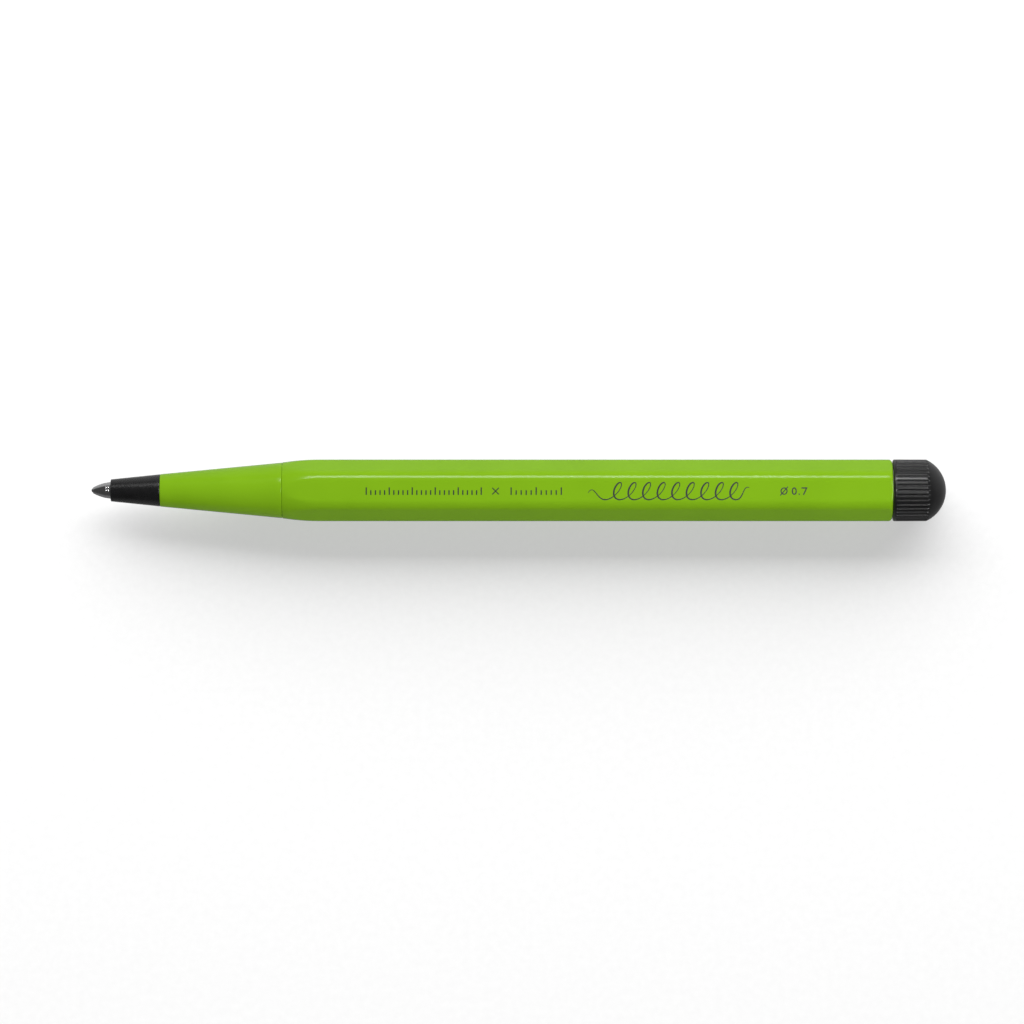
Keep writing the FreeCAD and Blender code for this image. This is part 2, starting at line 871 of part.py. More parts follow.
def cross_pin():
    """Steel pin through the plunger, the rotor's cam slots and the sleeve's straight slots."""
    pin = doc.addObject("Part::Cylinder", "cross_pin")
    pin.Label = "cross_pin"
    half = sleeve_radius - size.pin_recess
    bind(pin, "Radius", pin_radius)
    bind(pin, "Height", half * 2)
    where = pin_station - overall / 2
    pin.Placement = FreeCAD.Placement(
        FreeCAD.Vector(where.value, half.value, axis_height.value),
        FreeCAD.Rotation(FreeCAD.Vector(1, 0, 0), 90),
    )
    pin.setExpression("Placement.Base.x", where.text)
    pin.setExpression("Placement.Base.y", half.text)
    pin.setExpression("Placement.Base.z", axis_height.text)
    return pin


def cam_rotor():
    """Tube with two helical slots; its closed end carries the stem that the knob turns."""
    body = new_body("cam_rotor", rotor_front, size.cam_overrun)
    length = rotor_back - rotor_front
    plate = length - size.rotor_plate
    stem = stem_end - rotor_front
    edge = size.seam_edge
    ring_middle = length - size.rotor_plate / 2
    ring_half = size.rotor_ring_groove / 2
    ring_bottom = rotor_ring_radius - size.rotor_ring_section
    clip_start = clip_front - rotor_front
    clip_end = clip_start + size.clip_thick
    clip_floor = stem_radius - size.clip_groove_depth
    turn(body, [
        (0, rotor_bore),
        (0, rotor_radius - edge),
        (edge, rotor_radius),
        (ring_middle - ring_half, rotor_radius),
        (ring_middle - ring_half, ring_bottom),
        (ring_middle + ring_half, ring_bottom),
        (ring_middle + ring_half, rotor_radius),
        (length, rotor_radius),
        (length, stem_radius),
        (clip_start, stem_radius),
        (clip_start, clip_floor),
        (clip_end, clip_floor),
        (clip_end, stem_radius),
        (stem - edge, stem_radius),
        (stem, stem_radius - edge),
        (stem, 0),
        (plate, 0),
        (plate, rotor_bore),
    ])
    half_width = pin_radius + size.cam_slot_gap
    start = size.cam_lead_in - cam_lead * size.cam_overrun / 360
    outline = draw(body, [
        (start - half_width, rotor_bore - AIR / 2),
        (start - half_width, rotor_radius + AIR / 2),
        (start + half_width, rotor_radius + AIR / 2),
        (start + half_width, rotor_bore - AIR / 2),
    ], name="cam_outline")
    height = size.retraction + cam_lead * size.cam_overrun / 180
    slot = helix(body, "Subtractive", outline, "cam_slot", cam_lead, height, True)
    doc.recompute()
    polar(body, slot, PIN_ENDS, "cam_slots")
    return body


def rotor_friction_ring():
    """O-ring that gives the knob its smooth, slightly stiff turn."""
    ring = doc.addObject("Part::Torus", "rotor_friction_ring")
    ring.Label = "rotor_friction_ring"
    bind(ring, "Radius1", rotor_ring_radius)
    bind(ring, "Radius2", size.rotor_ring_section)
    across_axis(ring, rotor_back - size.rotor_plate / 2)
    return ring


def mechanism_sleeve():
    """Fixed brass sleeve with two straight slots that keep the pin from turning."""
    body = new_body("mechanism_sleeve", sleeve_front)
    length = barrel_end - sleeve_front
    collar = length - size.collar_length
    edge = size.seam_edge
    turn(body, [
        (0, sleeve_bore),
        (0, sleeve_radius - edge),
        (edge, sleeve_radius),
        (length, sleeve_radius),
        (length, collar_bore),
        (collar, collar_bore),
        (collar, sleeve_bore),
    ])
    doc.recompute()
    first = pin_station - sleeve_front - pin_radius - size.running_gap
    last = first + size.retraction + size.pin_dia + size.running_gap * 2
    half = pin_radius + size.pin_slot_gap
    slots = draw(body, [
        (first, -half),
        (first, half),
        (last, half),
        (last, -half),
    ], plane="XZ_Plane", name="guide_slot_outline")
    pocket_across(body, slots, "guide_slots")
    return body


def thrust_washer():
    """Thin bearing washer between the sleeve's collar and the clip."""
    body = new_body("thrust_washer", washer_front)
    bore = stem_radius + size.running_gap
    turn(body, [
        (0, bore),
        (0, size.washer_dia / 2),
        (size.washer_thick, size.washer_dia / 2),
        (size.washer_thick, bore),
    ])
    return body


def retaining_clip():
    """Open ring snapped into the stem's groove; it holds the rotor in the sleeve."""
    body = new_body("retaining_clip", clip_front)
    bore = stem_radius - size.clip_groove_depth
    turn(body, [
        (0, bore),
        (0, size.clip_dia / 2),
        (size.clip_thick, size.clip_dia / 2),
        (size.clip_thick, bore),
    ])
    doc.recompute()
    half = size.clip_mouth / 2
    mouth = draw(body, [
        (0, -half),
        (size.clip_dia, -half),
        (size.clip_dia, half),
        (0, half),
    ], plane="YZ_Plane", offset=-size.clip_thick, name="mouth_outline")
    cut = body.newObject("PartDesign::Pocket", "mouth")
    cut.Profile = mouth
    cut.Reversed = True
    bind(cut, "Length", size.clip_thick + size.clip_thick * 2)
    return body


def twist_knob():
    """Domed knob with straight flutes, bored for the stem and recessed over the clip."""
    body = new_body("twist_knob", knob_front)
    grip = size.knob_grip
    radius = knob_radius
    rear = knob_radius - size.knob_taper / 2
    dome = size.knob_dome
    dome_radius = (rear * rear + dome * dome) / (dome * 2)
    recess = size.knob_recess_dia / 2
    recess_depth = clip_front + size.clip_thick + size.clip_rear_gap - knob_front
    edge = size.knob_edge
    turn(body, [
        (0, recess),
        (0, radius - edge, edge),
        (edge, radius),
        (grip, rear, dome_radius),
        (grip + dome, 0),
        (size.knob_bore_depth, 0),
        (size.knob_bore_depth, stem_radius),
        (recess_depth, stem_radius),
        (recess_depth, recess),
    ])
    doc.recompute()
    bottom = radius - size.flute_depth
    top = radius + size.flute_depth / 2
    half_floor = size.flute_floor / 2
    half_top = half_floor + (size.flute_width / 2 - half_floor) * (
        (top - bottom) / size.flute_depth
    )
    flute = draw(body, [
        (-half_floor, bottom),
        (-half_top, top),
        (half_top, top),
        (half_floor, bottom),
    ], plane="YZ_Plane", offset=size.flute_margin, name="flute_outline")
    cut = body.newObject("PartDesign::Pocket", "flute")
    cut.Profile = flute
    cut.Reversed = True
    bind(cut, "Length", grip)
    doc.recompute()
    polar(body, cut, size.flute_count, "flutes")
    return body


# ---------------------------------------------------------------- build, check and write
def main():
    pieces = [
        writing_ball(),
        writing_tip(),
        ball_seal_spring(),
        tip_holder(),
        ink_tube(),
        gel_ink(),
        ink_follower(),
        refill_end_plug(),
        return_spring(),
        nose_piece(),
        front_cone(),
        cone_seal_ring(),
        barrel(),
        plunger(),
        cross_pin(),
        cam_rotor(),
        rotor_friction_ring(),
        mechanism_sleeve(),
        thrust_washer(),
        retaining_clip(),
        twist_knob(),
    ]
    doc.recompute()
    for thing in doc.Objects:
        if {"Invalid", "Error"} & set(thing.State):
            raise RuntimeError("%s failed: %s" % (thing.Name, thing.State))
    for piece in pieces:
        if piece.Shape.isNull() or not piece.Shape.isValid():
            raise RuntimeError("%s has no valid shape" % piece.Label)
    os.makedirs("parts", exist_ok=True)
    for piece in pieces:
        solids = len(piece.Shape.Solids)
        print("%-20s %2d solid %9.3f mm3" % (piece.Label, solids, piece.Shape.Volume))
        piece.Shape.exportStep(os.path.join("parts", piece.Label + ".step"))


main()
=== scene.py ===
"""Looks of a twist-action gel pen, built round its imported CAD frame.

Lengths in this file are millimetres in the row frame, and become metres when a mesh is made.
The pen lies along X, ball towards -X and knob towards +X, with a flat of the barrel facing up.
"""
import math

import bmesh
import bpy
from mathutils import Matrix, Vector


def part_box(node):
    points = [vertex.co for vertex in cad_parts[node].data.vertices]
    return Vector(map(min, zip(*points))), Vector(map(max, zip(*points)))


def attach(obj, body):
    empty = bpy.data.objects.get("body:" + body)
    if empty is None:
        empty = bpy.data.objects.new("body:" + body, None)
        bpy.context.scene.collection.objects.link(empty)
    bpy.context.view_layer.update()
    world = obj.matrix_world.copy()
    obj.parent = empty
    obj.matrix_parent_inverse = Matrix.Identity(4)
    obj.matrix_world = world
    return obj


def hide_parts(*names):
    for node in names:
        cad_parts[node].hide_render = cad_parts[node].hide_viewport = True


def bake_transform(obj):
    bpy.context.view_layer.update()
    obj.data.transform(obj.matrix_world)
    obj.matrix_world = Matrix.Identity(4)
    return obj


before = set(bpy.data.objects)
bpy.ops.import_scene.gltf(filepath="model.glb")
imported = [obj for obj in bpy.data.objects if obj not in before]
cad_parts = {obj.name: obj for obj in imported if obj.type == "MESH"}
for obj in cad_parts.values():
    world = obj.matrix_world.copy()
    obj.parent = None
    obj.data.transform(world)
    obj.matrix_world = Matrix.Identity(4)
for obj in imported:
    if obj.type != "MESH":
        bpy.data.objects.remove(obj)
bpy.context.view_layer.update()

MM = 0.001
TURN = 2 * math.pi


# ------------------------------------------------------------------ sizes read from the frame
def along(node):
    """A node's front and rear stations on the pen's axis."""
    low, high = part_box(node)
    return low.x / MM, high.x / MM


def radius_of(node):
    """Half a node's width across the pen."""
    low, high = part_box(node)
    return (high.y - low.y) / 2 / MM


def half_height(node):
    """Half a node's height, across the barrel's flats."""
    low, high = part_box(node)
    return (high.z - low.z) / 2 / MM


AXIS = (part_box("writing_ball")[0].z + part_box("writing_ball")[1].z) / 2 / MM
BARREL_FRONT, BARREL_REAR = along("barrel")
BARREL_CORNER = radius_of("barrel")
BARREL_FLAT = half_height("barrel")
NOSE_FRONT, NOSE_END = along("nose_piece")
CONE_FRONT, CONE_END = along("front_cone")
KNOB_FRONT, KNOB_REAR = along("twist_knob")
GRIP_RADIUS = half_height("twist_knob")
TIP_FRONT, TIP_END = along("writing_tip")
BALL_FRONT, BALL_REAR = along("writing_ball")
SPRING_FRONT, SPRING_REAR = along("return_spring")
SLEEVE_FRONT = along("mechanism_sleeve")[0]
SEAM = BARREL_FRONT
BALL_RADIUS = (BALL_REAR - BALL_FRONT) / 2

# sizes of the CAD model that a box doesn't show
EDGE = 0.05                # bevel of small edges
SET_BACK = 0.01            # keeps a bevelled front edge inside the CAD part
LONG_EDGE = 2.0            # rounding of the barrel's six edges
BARREL_MOUTH = 4.42        # outer radius at the barrel's front
OGIVE = 45.0               # curve that runs the flats out to round
OGIVE_CLEAR = 0.02         # that curve starts this far outside the six edges
REAR_EDGE = 0.65
SLEEVE_SEAT = 3.80
RING_SEAT = 3.87
RING_SEAT_END = 0.94       # from the seam, as are the two stations of the barrel's thread
THREAD_START = 1.32
THREAD_END = 9.30
THREAD_PITCH = 1.0
THREAD_ROOT = 3.42
THREAD_CREST = 3.72
THREAD_GAP = 0.08
THREAD_FLOOR = 0.175       # half width of the groove's floor
THREAD_TOP = 0.375         # half width of the groove at the crest
THREAD_PHASE = 0.45        # first groove's centre behind the seam
THREAD_RELIEF = 0.04       # bevels at the cone's thread reach this far below its root
RING_FLOOR = 3.35
RING_WIDTH = 0.70
CONE_BASE = 4.40
CONE_TIP = 2.57
CONE_BORE = 3.05
SPIGOT = 2.10
NOSE_FACE = 1.75
NOSE_BASE = 2.54
TIP_BODY = 1.36
TIP_OGIVE = 7.11
TIP_POINT = 3.70           # length of the point's curve, with the ball
TIP_BORE = 0.55
TIP_THROAT = 0.20
THROAT_LENGTH = 0.40
SEAT_GAP = 0.015           # between the ball and its seat
SHANK = 0.95
SHANK_LENGTH = 3.30
NECK_BORE = 1.63
NECK_LENGTH = 12.40        # refill's neck, from the writing point to the flange
SHOULDER_GAP = 0.50        # cone's inner shoulder ahead of that flange
STEP_GAP = 0.30            # nose's inner step ahead of the neck
NOSE_BORE = 1.44
GRIP_LENGTH = 5.25
GRIP_TAPER = 0.025
DOME_HEIGHT = 3.14
KNOB_EDGE = 0.25
FLUTES = 40
FLUTE_DEPTH = 0.20
FLUTE_MARGIN = 0.42
KNOB_RECESS = 3.45
KNOB_RECESS_DEPTH = 0.76
KNOB_STEM = 2.20
KNOB_BORE_DEPTH = 5.20
WIRE = 0.175               # half the return spring's wire
COIL = 1.805               # radius of its coils
TURNS = 9


# ------------------------------------------------------------------ mesh helpers
def point(x, radius, angle):
    """A point at that station, distance from the axis and angle, in metres."""
    y = radius * math.cos(angle)
    z = AXIS + radius * math.sin(angle)
    return Vector((x, y, z)) * MM


def piece_from(name, bm, materials):
    """A smooth-shaded piece from a bmesh, with its material slots."""
    bmesh.ops.recalc_face_normals(bm, faces=bm.faces)
    mesh = bpy.data.meshes.new(name)
    bm.to_mesh(mesh)
    bm.free()
    mesh.shade_smooth()
    piece = bpy.data.objects.new(name, mesh)
    bpy.context.scene.collection.objects.link(piece)
    for material in materials:
        mesh.materials.append(material)
    return piece


def bridge(bm, first, second, finish):
    """Faces between two rings of vertices; a ring of one vertex is a pole."""
    count = max(len(first), len(second))
    for i in range(count):
        j = (i + 1) % count
        corners = [
            first[i % len(first)],
            first[j % len(first)],
            second[j % len(second)],
            second[i % len(second)],
        ]
        unique = list(dict.fromkeys(corners))
        face = bm.faces.new(unique)
        face.material_index = finish


def loft(name, stations, angles, materials, closed=True):
    """A skin round the axis. A station is (x, radius, finish): the radius may be a function of
    the angle, and the finish is the material of the band that starts there."""
    bm = bmesh.new()
    rings = []
    for x, radius, _ in stations:
        if radius == 0:
            rings.append([bm.verts.new(point(x, 0, 0))])
            continue
        at = radius if callable(radius) else (lambda angle, r=radius: r)
        rings.append([bm.verts.new(point(x, at(angle), angle)) for angle in angles])
    last = len(rings) if closed else len(rings) - 1
    for i in range(last):
        bridge(bm, rings[i], rings[(i + 1) % len(rings)], stations[i][2])
    return piece_from(name, bm, materials)


def weighted(piece):
    """Large faces keep their own normals beside small rounded edges."""
    modifier = piece.modifiers.new("weighted_normals", "WEIGHTED_NORMAL")
    modifier.keep_sharp = True
    modifier.weight = 80
    return piece


def rounded(corners, closed=True, steps=5):
    """Stations along a profile of (x, radius, rounding, finish) corners, with an arc at each
    rounding."""
    points = []
    count = len(corners)
    for i, (x, r, rounding, finish) in enumerate(corners):
        end = not closed and i in (0, count - 1)
        if rounding == 0 or end:
            points.append((x, r, finish))
            continue
        here = Vector((x, r))
        back = (Vector(corners[i - 1][:2]) - here).normalized()
        ahead = (Vector(corners[(i + 1) % count][:2]) - here).normalized()
        half = back.angle(ahead) / 2
        reach = rounding / math.tan(half)
        centre = here + (back + ahead).normalized() * rounding / math.sin(half)
        start = here + back * reach - centre
        stop = here + ahead * reach - centre
        sweep = math.atan2(start.x * stop.y - start.y * stop.x, start.dot(stop))
        for k in range(steps + 1):
            angle = sweep * k / steps
            across = start.x * math.cos(angle) - start.y * math.sin(angle)
            outwards = start.x * math.sin(angle) + start.y * math.cos(angle)
            points.append((centre.x + across, centre.y + outwards, finish))
    return points


def divided(start, stop, count):
    """count values from start towards stop, without stop itself."""
    return [start + (stop - start) * i / count for i in range(count)]


def even_angles(count):
    return divided(0.0, TURN, count)


def quarter(count):
    """count + 1 angles from 0 to a quarter turn, for a rounded edge."""
    return [TURN / 4 * k / count for k in range(count + 1)]


def ramp(value, low, high):
    """0 up to low, 1 from high on, and even between."""
    return min(max((value - low) / (high - low), 0.0), 1.0)


def soft_min(a, b, blend):
    """The smaller of two radii, with the crease between them rounded."""
    h = min(max(0.5 + 0.5 * (b - a) / blend, 0.0), 1.0)
    return b + (a - b) * h - blend * h * (1 - h)


def thread_radius(x, angle, gap):
    """Radius of the screw thread at a point; gap moves it out, for the barrel's side."""
    phase = (x - SEAM - THREAD_PHASE) / THREAD_PITCH - angle / TURN
    off = abs(phase - round(phase)) * THREAD_PITCH
    rise = ramp(off, THREAD_FLOOR, THREAD_TOP)
    return THREAD_ROOT + gap + (THREAD_CREST - THREAD_ROOT) * rise


# ------------------------------------------------------------------ material helpers
NOISE_LOW = 0.3                # nearly all of a noise's values lie between these
NOISE_HIGH = 0.7
PATCH = 9                      # the colour varies over patches this many grains wide


def new_material(name):
    """A new material, its node tree and its shader."""
    material = bpy.data.materials.new(name)
    material.use_nodes = True
    tree = material.node_tree
    shader = tree.nodes["Principled BSDF"]
    return material, tree, shader


def add(tree, kind, **values):
    """A node with those inputs and settings."""
    node = tree.nodes.new(kind)
    for key, value in values.items():
        if key in node.inputs:
            node.inputs[key].default_value = value
        else:
            setattr(node, key, value)
    return node


def object_space(tree, stretch=(1, 1, 1)):
    """Object coordinates in metres, stretched, which ride with the piece."""
    where = add(tree, "ShaderNodeTexCoord")
    mapping = add(tree, "ShaderNodeMapping")
    mapping.inputs["Scale"].default_value = stretch
    tree.links.new(where.outputs["Object"], mapping.inputs["Vector"])
    return mapping.outputs["Vector"]


def noise(tree, vector, scale, detail):
    """A noise's value; scale is in details per metre."""
    node = add(tree, "ShaderNodeTexNoise")
    node.inputs["Scale"].default_value = scale
    node.inputs["Detail"].default_value = detail
    node.inputs["Roughness"].default_value = 0.55
    tree.links.new(vector, node.inputs["Vector"])
    return node.outputs["Fac"]


def mapped(tree, value, interpolation, low, high, at_low, at_high):
    """The value mapped from low..high to at_low..at_high."""
    node = add(tree, "ShaderNodeMapRange", interpolation_type=interpolation)
    node.inputs["From Min"].default_value = low
    node.inputs["From Max"].default_value = high
    node.inputs["To Min"].default_value = at_low
    node.inputs["To Max"].default_value = at_high
    tree.links.new(value, node.inputs["Value"])
    return node.outputs["Result"]


def spread(tree, value, low, high):
    """A noise's values mapped to low..high."""
    return mapped(tree, value, "LINEAR", NOISE_LOW, NOISE_HIGH, low, high)


def tint(tree, value, dark, light):
    """A colour between dark and light, from a noise's values."""
    node = add(tree, "ShaderNodeValToRGB")
    first, last = node.color_ramp.elements
    first.position = NOISE_LOW
    first.color = (*dark, 1)
    last.position = NOISE_HIGH
    last.color = (*light, 1)
    tree.links.new(value, node.inputs["Fac"])
    return node.outputs["Color"]


def bump(tree, shader, height, distance):
    """Fine relief of the surface; distance is its height in metres."""
    node = add(tree, "ShaderNodeBump")
    node.inputs["Distance"].default_value = distance
    node.inputs["Strength"].default_value = 1.0
    tree.links.new(height, node.inputs["Height"])
    tree.links.new(node.outputs["Normal"], shader.inputs["Normal"])


def finish_of(
    name, dark, light, rough, grain, relief, metallic=0.0, stretch=(1, 1, 1), **sockets
):
    """A finish whose colour, roughness and relief vary with a fine grain. dark and light bound
    the colour and rough the roughness; grain is the size of the detail and relief its height,
    both in mm."""
    material, tree, shader = new_material(name)
    space = object_space(tree, stretch)
    fine = noise(tree, space, 1 / (grain * MM), 4.0)
    broad = noise(tree, space, 1 / (grain * PATCH * MM), 2.0)
    tree.links.new(tint(tree, broad, dark, light), shader.inputs["Base Color"])
    tree.links.new(spread(tree, fine, *rough), shader.inputs["Roughness"])
    bump(tree, shader, fine, relief * MM)
    shader.inputs["Metallic"].default_value = metallic
    for socket, value in sockets.items():
        shader.inputs[socket.replace("_", " ")].default_value = value
    return material


# ------------------------------------------------------------------ materials
AROUND = (12.0, 1.0, 1.0)      # marks of turning: fine along the axis, long round it
ALONG = (0.08, 1.0, 1.0)       # marks of drawing: long along the axis

lacquer = finish_of(
    "green_lacquer", (0.207, 0.430, 0.0095), (0.219, 0.451, 0.0105), (0.13, 0.17), 0.9, 0.0005,
    Specular_IOR_Level=0.14,
)
bare_brass = finish_of(
    "bare_brass", (0.56, 0.40, 0.16), (0.70, 0.52, 0.24), (0.20, 0.34), 0.05, 0.002,
    metallic=1.0, stretch=AROUND,
)
nose_black = finish_of(
    "nose_satin_black", (0.004, 0.004, 0.0042), (0.0075, 0.0075, 0.008), (0.22, 0.32),
    0.18, 0.007, Specular_IOR_Level=0.6,
)
knob_black = finish_of(
    "knob_satin_black", (0.005, 0.005, 0.0052), (0.0070, 0.0070, 0.0073), (0.28, 0.34),
    0.16, 0.0008, Specular_IOR_Level=0.5,
)
print_ink = finish_of(
    "print_ink", (0.004, 0.010, 0.002), (0.008, 0.016, 0.004), (0.35, 0.5), 0.08, 0.001,
)
point_steel = finish_of(
    "point_steel", (0.42, 0.42, 0.425), (0.60, 0.60, 0.605), (0.14, 0.22), 0.06, 0.0015,
    metallic=1.0, stretch=AROUND,
)
ball_carbide = finish_of(
    "ball_carbide", (0.20, 0.20, 0.22), (0.30, 0.30, 0.32), (0.16, 0.30), 0.02, 0.0005,
    metallic=1.0,
)
spring_steel = finish_of(
    "spring_steel", (0.42, 0.42, 0.44), (0.58, 0.58, 0.60), (0.22, 0.38), 0.05, 0.001,
    metallic=1.0, stretch=ALONG,
)
sleeve_brass = finish_of(
    "sleeve_brass", (0.58, 0.42, 0.17), (0.72, 0.54, 0.25), (0.22, 0.36), 0.06, 0.002,
    metallic=1.0, stretch=AROUND,
)
pin_steel = finish_of(
    "pin_steel", (0.45, 0.45, 0.46), (0.60, 0.60, 0.61), (0.18, 0.30), 0.05, 0.001,
    metallic=1.0,
)
ring_rubber = finish_of(
    "ring_rubber", (0.010, 0.010, 0.010), (0.020, 0.020, 0.020), (0.55, 0.75), 0.05, 0.003,
)
holder_plastic = finish_of(
    "holder_plastic", (0.55, 0.56, 0.55), (0.66, 0.67, 0.66), (0.30, 0.42), 0.15, 0.003,
    Subsurface_Weight=0.2, Subsurface_Radius=(0.001, 0.001, 0.001),
)
clear_tube = finish_of(
    "clear_tube", (0.78, 0.80, 0.80), (0.86, 0.88, 0.88), (0.18, 0.30), 0.3, 0.002,
    stretch=ALONG, Transmission_Weight=0.85, IOR=1.49,
)
black_ink = finish_of(
    "black_ink", (0.004, 0.004, 0.006), (0.010, 0.010, 0.014), (0.05, 0.12), 0.5, 0.002,
)
clear_grease = finish_of(
    "clear_grease", (0.70, 0.66, 0.45), (0.82, 0.78, 0.58), (0.08, 0.20), 0.4, 0.003,
    Transmission_Weight=0.7, IOR=1.47,
)
plug_plastic = finish_of(
    "plug_plastic", (0.020, 0.021, 0.022), (0.035, 0.036, 0.038), (0.35, 0.48), 0.15, 0.004,
)
rotor_plastic = finish_of(
    "rotor_plastic", (0.62, 0.61, 0.56), (0.74, 0.73, 0.68), (0.32, 0.46), 0.2, 0.003,
    Subsurface_Weight=0.15, Subsurface_Radius=(0.001, 0.001, 0.001),
)
washer_nylon = finish_of(
    "washer_nylon", (0.60, 0.60, 0.57), (0.72, 0.72, 0.69), (0.40, 0.55), 0.1, 0.003,
)

for node, material in {
    "writing_ball": ball_carbide,
    "ball_seal_spring": spring_steel,
    "tip_holder": holder_plastic,
    "ink_tube": clear_tube,
    "gel_ink": black_ink,
    "ink_follower": clear_grease,
    "refill_end_plug": plug_plastic,
    "cone_seal_ring": ring_rubber,
    "rotor_friction_ring": ring_rubber,
    "plunger": sleeve_brass,
    "mechanism_sleeve": sleeve_brass,
    "cross_pin": pin_steel,
    "cam_rotor": rotor_plastic,
    "thrust_washer": washer_nylon,
    "retaining_clip": spring_steel,
}.items():
    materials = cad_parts[node].data.materials
    materials.clear()
    materials.append(material)


# ------------------------------------------------------------------ barrel
OUTSIDE, INSIDE = 0, 1         # finishes: lacquer, and bare brass
SIDES = 6
ARC_STEPS = 14                 # faces round each long edge
ON_FLAT = (0.04, 0.2, 0.4, 0.6, 0.8, 0.96)
MOUTH_EDGE = 0.06
OGIVE_BLEND = 0.10             # softens the crease between a flat and the front curve
REAR_BLEND = 0.06
RINGS_PER_TURN = 12            # of the barrel's thread


def hexagon_directions():
    """Angles and radii round the rounded hexagon, closely spaced along its six edges."""
    half_side = TURN / SIDES / 2
    centre = (BARREL_FLAT - LONG_EDGE) / math.cos(half_side)

    def on_edge(middle, turned):
        """A point of the rounded edge at that angle, turned from the edge's middle."""
        towards = Vector((math.cos(middle), math.sin(middle)))
        outwards = Vector((math.cos(middle + turned), math.sin(middle + turned)))
        return towards * centre + outwards * LONG_EDGE

    out = []
    for side in range(SIDES):
        middle = TURN * side / SIDES
        for k in range(ARC_STEPS + 1):
            out.append(on_edge(middle, half_side * (2 * k / ARC_STEPS - 1)))
        start = out[-1]
        stop = on_edge(middle + TURN / SIDES, -half_side)
        for share in ON_FLAT:
            out.append(start.lerp(stop, share))
    return [(math.atan2(where.y, where.x), where.length) for where in out]


def build_barrel():
    """Rounded hexagon, run out to round at the front, threaded and bored inside."""
    directions = hexagon_directions()
    angles = [angle for angle, _ in directions]
    hexagon = {angle: radius for angle, radius in directions}
    clear = BARREL_CORNER + OGIVE_CLEAR
    drop = clear - BARREL_MOUTH
    reach = math.sqrt(2 * OGIVE * drop - drop * drop)
    rear_start = BARREL_REAR - REAR_EDGE

    def outside(x):
        behind = min(x - BARREL_FRONT, reach)
        turned = clear - OGIVE + math.sqrt(OGIVE ** 2 - (reach - behind) ** 2)
        over = max(x - rear_start, 0.0)
        capped = clear - REAR_EDGE + math.sqrt(max(REAR_EDGE ** 2 - over ** 2, 0.0))
        near = max(MOUTH_EDGE - (x - BARREL_FRONT), 0.0)
        lip = MOUTH_EDGE - math.sqrt(max(MOUTH_EDGE ** 2 - near ** 2, 0.0))

        def radius(angle):
            body = soft_min(hexagon[angle], turned, OGIVE_BLEND)
            if over > 0:
                body = soft_min(body, capped, REAR_BLEND)
            return body - lip
        return radius

    # rings lie close together over the front curve and at both ends
    fine_end = BARREL_FRONT + reach + 0.5
    flats_end = rear_start - 0.3
    rings = [BARREL_FRONT + MOUTH_EDGE * (1 - math.cos(angle)) for angle in quarter(5)]
    rings += divided(BARREL_FRONT + 0.15, fine_end, 44)
    rings += divided(fine_end, flats_end, 24)
    rings += [flats_end, rear_start - 0.1]
    rings += [rear_start + REAR_EDGE * math.sin(angle) for angle in quarter(12)]
    stations = [(x, outside(x), OUTSIDE) for x in rings]

    bore = THREAD_ROOT + THREAD_GAP
    sleeve_seat_end = SLEEVE_FRONT - 0.02
    thread_start = SEAM + THREAD_START
    thread_end = SEAM + THREAD_END
    stations += [
        (BARREL_REAR, SLEEVE_SEAT + MOUTH_EDGE, INSIDE),
        (BARREL_REAR - MOUTH_EDGE, SLEEVE_SEAT, INSIDE),
        (sleeve_seat_end, SLEEVE_SEAT, INSIDE),
        (sleeve_seat_end, bore, INSIDE),
        (thread_end + THREAD_PITCH, bore, INSIDE),
    ]
    steps = int((thread_end - thread_start) / THREAD_PITCH * RINGS_PER_TURN)
    for x in divided(thread_end, thread_start, steps):
        fade = min((thread_end - x) / THREAD_PITCH, 1.0)

        def radius(angle, x=x, fade=fade):
            return bore + (thread_radius(x, angle, THREAD_GAP) - bore) * fade
        stations.append((x, radius, INSIDE))
    stations += [
        (SEAM + RING_SEAT_END, RING_SEAT, INSIDE),
        (SEAM + MOUTH_EDGE, RING_SEAT, INSIDE),
        (SEAM, RING_SEAT + MOUTH_EDGE, OUTSIDE),
    ]
    piece = loft("barrel_shell", stations, angles, [lacquer, bare_brass])
    return weighted(piece)


barrel = build_barrel()
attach(barrel, "barrel")
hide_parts("barrel")


# ------------------------------------------------------------------ front cone
CONE_TIP_EDGE = 0.12
CONE_RIM_EDGE = 0.18
THREAD_RINGS = 90
CONE_STEPS = 20                # rings along its side
LONG_SIDE = 5.0                # a longer stretch of the profile is its side


